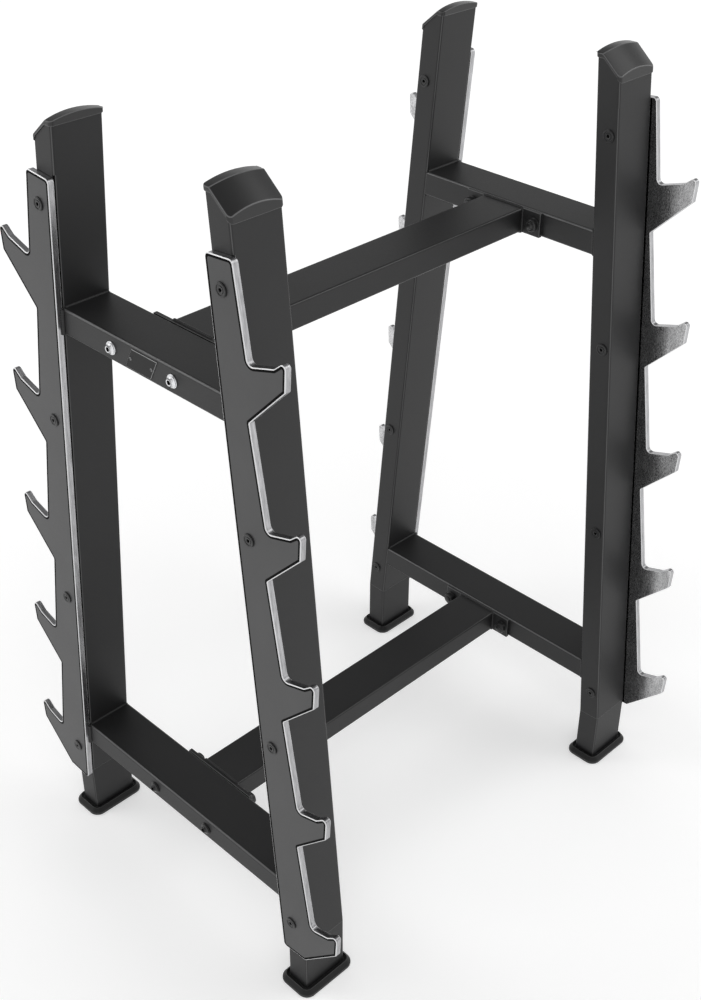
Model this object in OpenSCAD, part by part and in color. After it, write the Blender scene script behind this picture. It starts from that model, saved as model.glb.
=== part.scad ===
// Barbell storage rack for ten fixed barbells.
// Two leaning end frames are joined by two bolted beams, and saddle plates on the
// outer faces of the four uprights carry the bars in pairs of hooks.
// X runs along the barbells, Y across the rack and Z up. The origin lies on the
// floor, under the middle of the rack. All sizes are in millimetres.

/* [Frame] */
// Distance over the outer faces of the left and the right uprights
rack_length = 1005; // [700:5:1500]
// Distance over the outer faces of the front and the rear foot tubes
rack_depth = 722; // [640:2:900]
// Height of the flat top of an upright
upright_height = 1579; // [1560:1:1700]
// Lean of the uprights towards each other, in degrees
lean = 5; // [3:0.5:6]
// Height at which the upright bends into its vertical foot tube
bend_height = 126; // [105:1:140]
// Slope of the cut behind the flat top, away from square to the upright, in degrees
top_cut = 45; // [10:1:60]
// Depth of the flat top, from the upright's inner face to the sloping cut
flat_top = 15.5; // [8:0.5:30]

/* [Steel tube] */
// Wide side of the tube that all uprights, cross members and beams are cut from
tube_wide = 100; // [80:1:120]
// Narrow side of that tube
tube_narrow = 50; // [40:1:60]
// Wall of the tube
tube_wall = 3; // [2:0.5:5]
// Outer corner radius of the tube
tube_corner = 5; // [4:0.5:8]

/* [Cross members and beams] */
// Height of the middle of the upper cross members and the upper beam
upper_height = 1235; // [900:1:1300]
// Height of the middle of the lower cross members and the lower beam
lower_height = 239; // [205:1:400]
// Width of the flange that ends a beam
flange_wide = 187; // [180:1:240]
// Height of the flange
flange_high = 50; // [36:1:60]
// Thickness of the flange
flange_thick = 8; // [5:0.5:12]
// Distance between the two bolts of a flange
bolt_spacing = 158; // [132:1:164]

/* [Saddle plates] */
// Thickness of a saddle plate
plate_thick = 12; // [6:0.5:15]
// Length of bare upright left above the saddle plate, at its inner face
plate_top_gap = 86; // [75:1:110]
// How far the saddle plate reaches below the bend of the upright
plate_drop = 12; // [0:1:30]
// How far the plate's outer edge stands past the upright, at its top
plate_overhang = 10.5; // [4:0.5:20]
// How much further out the edge stands at each hook than at the one above
edge_step = 3.6; // [0:0.1:5]
// Radius of the plate's outer corners
plate_corner = 8; // [2:0.5:15]

/* [Hooks] */
// Number of hooks on a saddle plate
hook_count = 5; // [3:1:5]
// Distance between neighbouring hooks, along the upright
hook_pitch = 283; // [200:1:300]
// Distance from the bend of the upright to the ramp of the lowest hook
hook_low = 97; // [90:1:115]
// Distance from the upright's outer face to the foot of the ramp
ramp_start = 78.5; // [65:0.5:90]
// Distance from the upright's outer face to the hook's tip
hook_reach = 106.5; // [100:0.5:120]
// Distance from the upright's outer face to the root of the top hook's seat
seat_root = 21; // [16:0.5:30]
// Slope of the seat, away from square to the upright, in degrees
seat_slope = 12.5; // [5:0.5:20]
// Slope of the ramp that keeps the bar in, in degrees
ramp_slope = 35; // [20:1:45]
// Height of the hook's front face, from the ramp's foot down
front_drop = 32.5; // [15:0.5:45]
// How far the foot of the front face is set back from the tip
front_setback = 7.7; // [0:0.1:15]
// Slope of the hook's underside, in degrees
under_slope = 40.5; // [30:0.5:50]
// Radius at the root of the seat
seat_radius = 10; // [4:0.5:13]
// Radius of the hook's tip
tip_radius = 7; // [3:0.5:9]
// Radius at the root of the underside
under_radius = 4; // [1:0.5:8]
// Radius at the foot of the front face
front_radius = 2.5; // [0.5:0.5:5]

/* [Plate screws] */
// Number of screws that hold a saddle plate
screw_count = 4; // [2:1:4]
// Distance between neighbouring screws, along the upright
screw_pitch = 420; // [250:1:430]
// Distance from the bend of the upright to the lowest screw
screw_low = 66; // [40:1:80]
// Distance of the screws from the upright's outer face, inwards
screw_inset = 20; // [15:0.5:28]
// Diameter of a screw's shank
screw_d = 10; // [8:0.5:12]
// Diameter of the flat heads of the screws and of their sleeve nuts
screw_head_d = 24; // [18:0.5:26]
// Height of those heads
screw_head_high = 3; // [2:0.5:5]
// Width across the flats of the socket in those heads
screw_socket = 6; // [4:0.5:6]
// Outer diameter of a sleeve nut's barrel
sleeve_d = 14; // [13:0.5:15]
// Length of the barrel
sleeve_length = 45; // [25:1:60]

/* [Frame bolts] */
// Diameter of a frame bolt's shank
bolt_d = 12; // [8:0.5:14]
// Diameter of its button head
bolt_head_d = 21; // [18:0.5:22]
// Height of its button head
bolt_head_high = 6.5; // [4:0.5:9]
// Width across the flats of the socket in the head
bolt_socket = 8; // [5:0.5:8]
// Diameter of the washer under the head
washer_d = 24; // [22:0.5:30]
// Thickness of the washer
washer_thick = 2.5; // [1.5:0.5:4]
// Width across the flats of the nut
nut_flats = 18; // [16:0.5:19]
// Height of the nut
nut_high = 10; // [7:0.5:12]
// Length of the bolt that shows past the nut
bolt_excess = 1; // [0.5:0.5:4]
// Outer diameter of the cap over the nut
nut_cap_d = 27; // [25:0.5:28]
// Thickness of the cap's wall and roof
nut_cap_wall = 1.5; // [1:0.5:2]
// Diameter of the dome on the cap
dome_d = 16; // [10:0.5:20]
// Height of the dome
dome_high = 4; // [2:0.5:6]

/* [Top caps] */
// Height of the middle of a top cap above the upright's end
cap_high = 15; // [12:0.5:25]
// Radius of the cap's arched top
cap_arch = 200; // [180:1:400]
// How far the cap stands past the tube on each side
cap_overhang = 2.2; // [0.5:0.1:4]
// How far the cap's outer end reaches down over the tube
cap_lip = 3.5; // [1:0.5:8]
// Depth of the cap's skirt inside the tube
skirt_depth = 20; // [10:1:40]
// Wall of the skirt
skirt_wall = 2.5; // [1.5:0.5:4]

/* [Rubber feet] */
// Height of a rubber foot
rubber_high = 16; // [14:1:30]
// How far the rubber stands past the tube on each side, at its widest
rubber_overhang = 15.5; // [15:0.5:25]
// Corner radius of the rubber foot
rubber_corner = 21; // [17:0.5:21.5]
// Height of the foot's upright edge, up to where its sides start to slope in
rubber_edge = 6; // [3:0.5:10]
// How far the sides slope in, from that edge to the rim
rubber_taper = 7.3; // [1:0.1:7.5]
// Size of the bevel round the foot's lower edge
rubber_bevel = 1.5; // [0.5:0.5:2.5]
// Thickness of rubber under the tube
rubber_floor = 6; // [4:0.5:8]
// Width of the groove between the rubber's rim and the tube
groove_wide = 7; // [3:0.5:7.5]
// Depth of the groove
groove_deep = 4; // [1:0.5:5]

/* [Badge plate] */
// Length of the slanted badge plate on the upper left cross member
badge_long = 66; // [62:1:100]
// Height of the badge plate
badge_high = 38; // [20:1:39]
// How far its lower edge is shifted against its upper one
badge_slant = 20; // [0:1:30]
// Thickness of the badge plate
badge_thick = 1.5; // [1:0.5:3]
// Distance between its two screws
badge_screw_spacing = 54; // [20:1:54]
// Diameter of a badge screw's shank
badge_screw_d = 3; // [2:0.5:4]
// Diameter of its head
badge_head_d = 6; // [5:0.5:7]
// Height of its head
badge_head_high = 1.5; // [1:0.5:2]

/* [Fits] */
// Play of a shank in its hole, on the diameter
hole_play = 0.6; // [0.2:0.1:1]
// Play of a shank in its nut, on the diameter
thread_play = 0.2; // [0.1:0.1:0.4]
// Gap between a plastic or rubber piece and the tube, on each side
slip_gap = 0.2; // [0.1:0.1:0.5]

/* [Hidden] */

LEFT = -1;
RIGHT = 1;
FRONT = -1;
REAR = 1;

// Larger than the whole rack, for blocks that cut everything on one side of a plane
far = 4000;
// Steps of each rounded corner of the saddle plate's outline
arc_steps = 8;
// Steps of the side of a dome
dome_steps = 6;
// Overlap of two solids that make one piece
overlap = 1;
$fn = 48;

paint = [0.2, 0.2, 0.21];
plate_grey = [0.42, 0.42, 0.43];
zinc = [0.8, 0.81, 0.83];
black_oxide = [0.1, 0.1, 0.11];
rubber_black = [0.07, 0.07, 0.07];
plastic_black = [0.12, 0.12, 0.12];

outer_x = rack_length / 2;
inner_x = outer_x - tube_wide;
middle_x = outer_x - tube_wide / 2;
outer_y = rack_depth / 2;
bore_corner = max(0.5, tube_corner - tube_wall);
// Length of the upright's inner face above the level of its bend
upright_length = (upright_height - bend_height + tube_narrow * sin(lean)) / cos(lean);
plate_top = upright_length - plate_top_gap;
top_slope = top_cut - lean;
flange_x = inner_x - flange_thick;
bolt_grip = washer_thick + tube_wide + flange_thick;

// Outline helpers: a corner is [out, along, radius]

function flat(p) = [p.x, p.y];
function unit(v) = v / norm(v);
function turn(from, to) = let (d = to - from) d > 180 ? d - 360 : d < -180 ? d + 360 : d;

// The points of the arc that rounds the corner between its two neighbours
function corner_arc(before, corner, after) = let (
    u = unit(flat(before) - flat(corner)),
    v = unit(flat(after) - flat(corner)),
    half = acos(u * v) / 2,
    r = corner[2],
    centre = flat(corner) + unit(u + v) * r / sin(half),
    first = flat(corner) + u * r / tan(half) - centre,
    last = flat(corner) + v * r / tan(half) - centre,
    start = atan2(first.y, first.x),
    sweep = turn(start, atan2(last.y, last.x))
) [for (i = [0:arc_steps]) centre + r * [cos(start + sweep * i / arc_steps), sin(start + sweep * i / arc_steps)]];

function rounded(corners) = let (n = len(corners))
    [for (i = [0:n - 1]) each corner_arc(corners[(i + n - 1) % n], corners[i], corners[(i + 1) % n])];

// The hooks are counted from the top, and all heights run along the upright from its bend

function ramp_foot(i) = hook_low + hook_pitch * (hook_count - 1 - i);
function seat_corner(i) = let (out = seat_root + edge_step * i)
    [out, ramp_foot(i) - (ramp_start - out) * tan(seat_slope), seat_radius];
function tip_corner(i) = [hook_reach, ramp_foot(i) + (hook_reach - ramp_start) * tan(ramp_slope), tip_radius];
function front_corner(i) = [hook_reach - front_setback, ramp_foot(i) - front_drop, front_radius];
function under_corner(i) = let (out = plate_overhang + edge_step * i, front = front_corner(i))
    [out, front.y - (front.x - out) * tan(under_slope), under_radius];

// The lowest hook's underside runs on to the plate's bottom edge
function bottom_corner() = let (front = front_corner(hook_count - 1))
    [front.x - (front.y + plate_drop) / tan(under_slope), -plate_drop, under_radius];

function plate_corners() = [
    [-tube_narrow, plate_top, plate_corner],
    [plate_overhang, plate_top, plate_corner],
    for (i = [0:hook_count - 1]) each [
        seat_corner(i),
        [ramp_start, ramp_foot(i), under_radius],
        tip_corner(i),
        front_corner(i),
        i < hook_count - 1 ? under_corner(i) : bottom_corner()
    ],
    [-tube_narrow, -plate_drop, plate_corner]
];

// Placing helpers

// Puts a piece that is drawn at the right rear of the rack at any of its four corners
module at(side, end) {
    mirror([side == LEFT ? 1 : 0, 0, 0]) mirror([0, end == FRONT ? 1 : 0, 0]) children();
}

// The frame of the right rear upright: Z along the tube from its bend, Y out of its outer face
module upright_frame() {
    translate([0, outer_y, bend_height]) rotate([lean, 0, 0]) children();
}

// The frame of the upright's top: Z straight up, origin where the flat top meets the sloping cut
module top_frame() {
    translate([0, -tube_narrow, upright_length]) rotate([-lean, 0, 0]) translate([0, flat_top, 0]) children();
}

// Everything below the flat top and the sloping cut
module below_top() {
    top_frame() intersection() {
        lower_half();
        rotate([-top_slope, 0, 0]) lower_half();
    }
}

// Everything above the origin's XY plane
module upper_half() {
    translate([-far / 2, -far / 2, 0]) cube(far);
}

// Everything below it
module lower_half() {
    mirror([0, 0, 1]) upper_half();
}

// Everything that lies outside the inner face of the right rear upright
module past_inner_face() {
    upright_frame() translate([-far / 2, -tube_narrow, -far / 2]) cube(far);
}

module at_screws() {
    for (i = [0:screw_count - 1]) translate([0, -screw_inset, screw_low + screw_pitch * i]) children();
}

module at_bolts(height) {
    for (y = [-1, 1] * bolt_spacing / 2) translate([0, y, height]) children();
}

// Shapes that repeat

module rounded_rectangle(x, y, r) {
    square([x - 2 * r, y], center = true);
    square([x, y - 2 * r], center = true);
    for (i = [-1, 1], j = [-1, 1]) translate([i * (x / 2 - r), j * (y / 2 - r)]) circle(r);
}

module tube_outline(x, y) {
    rounded_rectangle(x, y, tube_corner);
}

module tube_bore(x, y, inset = 0) {
    rounded_rectangle(x - 2 * (tube_wall + inset), y - 2 * (tube_wall + inset), bore_corner);
}

module tube(x, y, length) {
    linear_extrude(length) difference() {
        tube_outline(x, y);
        tube_bore(x, y);
    }
}

// A cylinder along X that starts at x
module rod(x, d, length) {
    translate([x, 0, 0]) rotate([0, 90, 0]) cylinder(d = d, h = length);
}

// A hexagonal bar along X that starts at x, by its width across the flats
module hex_rod(x, flats, length) {
    translate([x, 0, 0]) rotate([0, 90, 0]) cylinder(d = flats / cos(30), h = length, $fn = 6);
}

// The side of a dome that is d wide and as high as given, from its rim to its top: [radius, height]
function dome_arc(d, high) = let (
    ball = (high * high + d * d / 4) / (2 * high),
    rim = asin(d / 2 / ball)
) [for (i = [0:dome_steps]) let (a = rim * (1 - i / dome_steps)) [ball * sin(a), ball * (cos(a) - 1) + high]];

// A turned piece along X that starts at x, from its profile: [radius, height]
module turned(x, profile) {
    translate([x, 0, 0]) rotate([0, 90, 0]) rotate_extrude() polygon(profile);
}

module dome(x, d, high) {
    turned(x, [[0, 0], each dome_arc(d, high)]);
}

// A flat round head with a bevelled rim and a socket, standing out of x along X
module flat_head(x) {
    rim = screw_head_high / 3;
    rod(x, screw_head_d, screw_head_high - rim);
    translate([x + screw_head_high - rim, 0, 0]) rotate([0, 90, 0])
        cylinder(d1 = screw_head_d, d2 = screw_head_d - 2 * rim, h = rim);
}

// Pieces of the end frames, drawn at the right rear

module upright_piece() {
    color(paint) upright_frame() difference() {
        intersection() {
            translate([middle_x, -tube_narrow / 2, -tube_narrow])
                tube(tube_wide, tube_narrow, upright_length + 2 * tube_narrow);
            below_top();
        }
        rotate([-lean / 2, 0, 0]) lower_half();
        at_screws() {
            rod(middle_x, screw_d + hole_play, tube_wide);
            rod(inner_x - tube_wide / 2, sleeve_d + hole_play, tube_wide);
        }
    }
}

module foot_tube_piece() {
    color(paint) difference() {
        translate([middle_x, outer_y - tube_narrow / 2, rubber_floor])
            tube(tube_wide, tube_narrow, bend_height);
        translate([0, outer_y, bend_height]) rotate([lean / 2, 0, 0]) upper_half();
    }
}

module rubber_foot_piece() {
    long = tube_wide + 2 * rubber_overhang;
    wide = tube_narrow + 2 * rubber_overhang;
    r = rubber_corner;
    color(rubber_black) translate([middle_x, outer_y - tube_narrow / 2, 0]) difference() {
        union() {
            tapered_bar(long, wide - 2 * r);
            rotate([0, 0, 90]) tapered_bar(wide, long - 2 * r);
            for (x = [-1, 1] * (long / 2 - r), y = [-1, 1] * (wide / 2 - r)) translate([x, y, 0])
                rotate_extrude() polygon([[0, 0], each foot_side(r), [0, rubber_high]]);
        }
        translate([0, 0, rubber_floor]) linear_extrude(rubber_high)
            rounded_rectangle(tube_wide + 2 * slip_gap, tube_narrow + 2 * slip_gap, tube_corner + slip_gap);
        translate([0, 0, rubber_high - groove_deep]) linear_extrude(rubber_high) rounded_rectangle(
            tube_wide + 2 * groove_wide, tube_narrow + 2 * groove_wide, tube_corner + groove_wide);
    }
}

// The side of the rubber foot from the floor up, when it is x out at its widest
function foot_side(x) = [
    [x - rubber_bevel, 0],
    [x, rubber_bevel],
    [x, rubber_edge],
    [x - rubber_taper, rubber_high]
];

// A bar along X whose two ends have the side of the rubber foot
module tapered_bar(x, y) {
    side = foot_side(x / 2);
    translate([0, y / 2, 0]) rotate([90, 0, 0]) linear_extrude(y)
        polygon([each side, for (i = [len(side) - 1:-1:0]) [-side[i].x, side[i].y]]);
}

module top_cap_piece() {
    color(plastic_black) upright_frame() translate([middle_x, -tube_narrow / 2, 0]) {
        difference() {
            intersection() {
                linear_extrude(2 * upright_length) cap_outline();
                translate([0, tube_narrow / 2, 0]) top_frame() {
                    intersection() {
                        arched_bar(cap_high);
                        rotate([-top_slope, 0, 0]) arched_bar(cap_high * cos(top_slope));
                    }
                }
            }
            translate([0, tube_narrow / 2, 0]) below_top();
        }
        under_cap(skirt_depth) difference() {
            tube_bore(tube_wide, tube_narrow, slip_gap);
            tube_bore(tube_wide, tube_narrow, slip_gap + skirt_wall);
        }
        under_cap(cap_lip) difference() {
            cap_outline();
            rounded_rectangle(tube_wide + 2 * slip_gap, tube_narrow + 2 * slip_gap, tube_corner + slip_gap);
            translate([0, -tube_corner]) square([2 * tube_wide, tube_narrow], center = true);
        }
    }
}

module cap_outline() {
    rounded_rectangle(
        tube_wide + 2 * cap_overhang, tube_narrow + 2 * cap_overhang, tube_corner + cap_overhang);
}

// A wall with the given outline that hangs that far down from the underside of the cap
module under_cap(depth) {
    intersection() {
        linear_extrude(2 * upright_length) children();
        translate([0, tube_narrow / 2, overlap]) below_top();
        difference() {
            upper_half();
            translate([0, tube_narrow / 2, -depth]) below_top();
        }
    }
}

// A long bar along Y under an arch whose top is as high as given
module arched_bar(high) {
    translate([0, far / 2, high - cap_arch]) rotate([90, 0, 0]) cylinder(r = cap_arch, h = far, $fn = 180);
}

module saddle_plate_piece() {
    color(plate_grey) upright_frame() difference() {
        translate([outer_x, 0, 0]) rotate([90, 0, 90]) linear_extrude(plate_thick)
            polygon(rounded(plate_corners()));
        at_screws() rod(outer_x - plate_thick, screw_d + hole_play, 3 * plate_thick);
    }
}

module saddle_screws_piece() {
    seat = outer_x + plate_thick;
    end = inner_x + tube_wall + screw_head_high;
    color(plate_grey) upright_frame() at_screws() difference() {
        union() {
            flat_head(seat);
            rod(end, screw_d, seat - end);
        }
        hex_rod(seat - screw_head_high, screw_socket, far);
    }
}

module sleeve_nuts_piece() {
    bottom = inner_x + tube_wall;
    color(plate_grey) upright_frame() at_screws() difference() {
        union() {
            translate([inner_x, 0, 0]) mirror([1, 0, 0]) flat_head(0);
            rod(inner_x, sleeve_d, sleeve_length);
        }
        rod(bottom, screw_d + thread_play, sleeve_length);
        hex_rod(inner_x - far, screw_socket, far);
    }
}

// A cross member between the inner faces of two uprights, drawn on the right
module cross_member_piece(height) {
    color(paint) difference() {
        translate([middle_x, rack_depth / 2, height]) rotate([90, 0, 0])
            tube(tube_wide, tube_narrow, rack_depth);
        past_inner_face();
        mirror([0, 1, 0]) past_inner_face();
        at_bolts(height) rod(inner_x - tube_wide / 2, bolt_d + hole_play, 2 * tube_wide);
    }
}

// Pieces between the end frames, drawn on the right where they have a side

module beam_piece(height) {
    color(paint) translate([-flange_x, 0, height]) rotate([90, 0, 90])
        tube(tube_wide, tube_narrow, 2 * flange_x);
}

module flange_piece(height) {
    color(paint) difference() {
        translate([flange_x, -flange_wide / 2, height - flange_high / 2])
            cube([flange_thick, flange_wide, flange_high]);
        at_bolts(height) rod(flange_x - flange_thick, bolt_d + hole_play, 3 * flange_thick);
    }
}

module bolts_piece(height, finish) {
    seat = outer_x + washer_thick;
    length = bolt_grip + nut_high + bolt_excess;
    color(finish) at_bolts(height) difference() {
        union() {
            dome(seat, bolt_head_d, bolt_head_high);
            rod(seat - length, bolt_d, length);
        }
        hex_rod(seat + bolt_head_high / 3, bolt_socket, far);
    }
}

module washers_piece(height, finish) {
    color(finish) at_bolts(height) difference() {
        rod(outer_x, washer_d, washer_thick);
        rod(outer_x - washer_thick, bolt_d + hole_play, 3 * washer_thick);
    }
}

module nuts_piece(height) {
    color(zinc) at_bolts(height) difference() {
        hex_rod(flange_x - nut_high, nut_flats, nut_high);
        rod(flange_x - 2 * nut_high, bolt_d + thread_play, 3 * nut_high);
    }
}

module nut_caps_piece(height) {
    room = nut_high + bolt_excess + slip_gap;
    body = room + nut_cap_wall;
    rim = nut_cap_d / 2;
    color(plastic_black) at_bolts(height) translate([flange_x, 0, 0]) mirror([1, 0, 0]) difference() {
        turned(0, [
            [0, 0],
            [rim, 0],
            [rim, body - nut_cap_wall],
            [rim - nut_cap_wall, body],
            for (p = dome_arc(dome_d, dome_high)) p + [0, body]
        ]);
        hex_rod(-nut_high, nut_flats + 2 * slip_gap, nut_high + room);
    }
}

// The badge plate is on the outer face of the upper left cross member

module on_badge_face() {
    translate([-outer_x, 0, upper_height]) mirror([1, 0, 0]) children();
}

module at_badge_screws() {
    for (y = [-1, 1] * badge_screw_spacing / 2) translate([0, y, 0]) children();
}

module badge_plate_piece() {
    half = badge_long / 2;
    shift = badge_slant / 2;
    up = badge_high / 2;
    color(black_oxide) on_badge_face() difference() {
        rotate([90, 0, 90]) linear_extrude(badge_thick)
            polygon([[-half - shift, up], [half - shift, up], [half + shift, -up], [-half + shift, -up]]);
        at_badge_screws() rod(-badge_thick, badge_screw_d + hole_play, 3 * badge_thick);
    }
}

module badge_screws_piece() {
    color(black_oxide) on_badge_face() at_badge_screws() {
        dome(badge_thick, badge_head_d, badge_head_high);
        rod(-2 * tube_wall, badge_screw_d, 2 * tube_wall + badge_thick);
    }
}

// The named sub-parts

module left_front_upright() at(LEFT, FRONT) upright_piece();
module left_rear_upright() at(LEFT, REAR) upright_piece();
module right_front_upright() at(RIGHT, FRONT) upright_piece();
module right_rear_upright() at(RIGHT, REAR) upright_piece();

module left_front_foot_tube() at(LEFT, FRONT) foot_tube_piece();
module left_rear_foot_tube() at(LEFT, REAR) foot_tube_piece();
module right_front_foot_tube() at(RIGHT, FRONT) foot_tube_piece();
module right_rear_foot_tube() at(RIGHT, REAR) foot_tube_piece();

module left_front_rubber_foot() at(LEFT, FRONT) rubber_foot_piece();
module left_rear_rubber_foot() at(LEFT, REAR) rubber_foot_piece();
module right_front_rubber_foot() at(RIGHT, FRONT) rubber_foot_piece();
module right_rear_rubber_foot() at(RIGHT, REAR) rubber_foot_piece();

module left_front_top_cap() at(LEFT, FRONT) top_cap_piece();
module left_rear_top_cap() at(LEFT, REAR) top_cap_piece();
module right_front_top_cap() at(RIGHT, FRONT) top_cap_piece();
module right_rear_top_cap() at(RIGHT, REAR) top_cap_piece();

module left_front_saddle_plate() at(LEFT, FRONT) saddle_plate_piece();
module left_rear_saddle_plate() at(LEFT, REAR) saddle_plate_piece();
module right_front_saddle_plate() at(RIGHT, FRONT) saddle_plate_piece();
module right_rear_saddle_plate() at(RIGHT, REAR) saddle_plate_piece();

module left_front_saddle_screws() at(LEFT, FRONT) saddle_screws_piece();
module left_rear_saddle_screws() at(LEFT, REAR) saddle_screws_piece();
module right_front_saddle_screws() at(RIGHT, FRONT) saddle_screws_piece();
module right_rear_saddle_screws() at(RIGHT, REAR) saddle_screws_piece();

module left_front_sleeve_nuts() at(LEFT, FRONT) sleeve_nuts_piece();
module left_rear_sleeve_nuts() at(LEFT, REAR) sleeve_nuts_piece();
module right_front_sleeve_nuts() at(RIGHT, FRONT) sleeve_nuts_piece();
module right_rear_sleeve_nuts() at(RIGHT, REAR) sleeve_nuts_piece();

// The badge plate's screws go through the wall of the upper left cross member
module upper_left_cross_member() difference() {
    at(LEFT, REAR) cross_member_piece(upper_height);
    on_badge_face() at_badge_screws() rod(-2 * tube_wall, badge_screw_d + hole_play, 4 * tube_wall);
}
module lower_left_cross_member() at(LEFT, REAR) cross_member_piece(lower_height);
module upper_right_cross_member() at(RIGHT, REAR) cross_member_piece(upper_height);
module lower_right_cross_member() at(RIGHT, REAR) cross_member_piece(lower_height);

module upper_beam() beam_piece(upper_height);
module lower_beam() beam_piece(lower_height);

module upper_left_flange() at(LEFT, REAR) flange_piece(upper_height);
module lower_left_flange() at(LEFT, REAR) flange_piece(lower_height);
module upper_right_flange() at(RIGHT, REAR) flange_piece(upper_height);
module lower_right_flange() at(RIGHT, REAR) flange_piece(lower_height);

module upper_left_bolts() at(LEFT, REAR) bolts_piece(upper_height, zinc);
module lower_left_bolts() at(LEFT, REAR) bolts_piece(lower_height, black_oxide);
module upper_right_bolts() at(RIGHT, REAR) bolts_piece(upper_height, zinc);
module lower_right_bolts() at(RIGHT, REAR) bolts_piece(lower_height, black_oxide);

module upper_left_washers() at(LEFT, REAR) washers_piece(upper_height, zinc);
module lower_left_washers() at(LEFT, REAR) washers_piece(lower_height, black_oxide);
module upper_right_washers() at(RIGHT, REAR) washers_piece(upper_height, zinc);
module lower_right_washers() at(RIGHT, REAR) washers_piece(lower_height, black_oxide);

module upper_left_nuts() at(LEFT, REAR) nuts_piece(upper_height);
module lower_left_nuts() at(LEFT, REAR) nuts_piece(lower_height);
module upper_right_nuts() at(RIGHT, REAR) nuts_piece(upper_height);
module lower_right_nuts() at(RIGHT, REAR) nuts_piece(lower_height);

module upper_left_nut_caps() at(LEFT, REAR) nut_caps_piece(upper_height);
module lower_left_nut_caps() at(LEFT, REAR) nut_caps_piece(lower_height);
module upper_right_nut_caps() at(RIGHT, REAR) nut_caps_piece(upper_height);
module lower_right_nut_caps() at(RIGHT, REAR) nut_caps_piece(lower_height);

module badge_plate() badge_plate_piece();
module badge_screws() badge_screws_piece();

left_front_upright();
left_rear_upright();
right_front_upright();
right_rear_upright();
left_front_foot_tube();
left_rear_foot_tube();
right_front_foot_tube();
right_rear_foot_tube();
left_front_rubber_foot();
left_rear_rubber_foot();
right_front_rubber_foot();
right_rear_rubber_foot();
left_front_top_cap();
left_rear_top_cap();
right_front_top_cap();
right_rear_top_cap();
left_front_saddle_plate();
left_rear_saddle_plate();
right_front_saddle_plate();
right_rear_saddle_plate();
left_front_saddle_screws();
left_rear_saddle_screws();
right_front_saddle_screws();
right_rear_saddle_screws();
left_front_sleeve_nuts();
left_rear_sleeve_nuts();
right_front_sleeve_nuts();
right_rear_sleeve_nuts();
upper_left_cross_member();
lower_left_cross_member();
upper_right_cross_member();
lower_right_cross_member();
upper_beam();
lower_beam();
upper_left_flange();
lower_left_flange();
upper_right_flange();
lower_right_flange();
upper_left_bolts();
lower_left_bolts();
upper_right_bolts();
lower_right_bolts();
upper_left_washers();
lower_left_washers();
upper_right_washers();
lower_right_washers();
upper_left_nuts();
lower_left_nuts();
upper_right_nuts();
lower_right_nuts();
upper_left_nut_caps();
lower_left_nut_caps();
upper_right_nut_caps();
lower_right_nut_caps();
badge_plate();
badge_screws();
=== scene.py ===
"""Looks, light and camera for a barbell storage rack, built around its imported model.

Sizes are in metres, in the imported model's frame: the origin lies on the floor under the
middle of the rack, X runs along the barbells, Y across the rack and Z up.
"""

import logging
import math
from collections.abc import Iterator, Sequence
from contextlib import contextmanager
from dataclasses import dataclass
from enum import Enum
from itertools import product

import bmesh
import bpy
from bmesh.types import BMEdge, BMesh, BMVert
from bpy.types import Mesh, NodeSocket, Object
from mathutils import Matrix, Vector
from mathutils.geometry import tessellate_polygon
from mathutils.kdtree import KDTree


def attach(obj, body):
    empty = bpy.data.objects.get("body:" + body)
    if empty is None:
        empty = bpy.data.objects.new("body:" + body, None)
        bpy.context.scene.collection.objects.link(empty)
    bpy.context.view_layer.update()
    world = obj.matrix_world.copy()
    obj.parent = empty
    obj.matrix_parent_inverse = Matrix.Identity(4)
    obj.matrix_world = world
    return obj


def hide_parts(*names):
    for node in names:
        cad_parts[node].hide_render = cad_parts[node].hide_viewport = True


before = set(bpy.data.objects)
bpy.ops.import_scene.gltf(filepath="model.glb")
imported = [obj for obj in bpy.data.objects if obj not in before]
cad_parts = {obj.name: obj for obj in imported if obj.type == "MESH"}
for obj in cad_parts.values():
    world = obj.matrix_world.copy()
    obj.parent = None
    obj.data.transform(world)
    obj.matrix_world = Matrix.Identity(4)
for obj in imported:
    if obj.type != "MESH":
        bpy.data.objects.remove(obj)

log = logging.getLogger("rack")
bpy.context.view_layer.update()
BODY = "root"

Colour = tuple[float, float, float]
Pair = tuple[float, float]


class Side(Enum):
    """The two ends of the rack, along X."""

    LEFT = -1
    RIGHT = 1

    @property
    def turn(self) -> float:
        """The turn about Z from +X to this side's way out of the rack."""
        return 0.0 if self is Side.RIGHT else math.pi


class End(Enum):
    """The two sloping sides of the rack, along Y."""

    FRONT = -1
    REAR = 1


class Level(Enum):
    """The two heights at which the end frames are joined, in metres above the floor."""

    UPPER = 1.235
    LOWER = 0.239


def label(*parts: Enum) -> str:
    """Joins sides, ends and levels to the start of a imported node's name."""
    return "_".join(part.name.lower() for part in parts)


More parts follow.
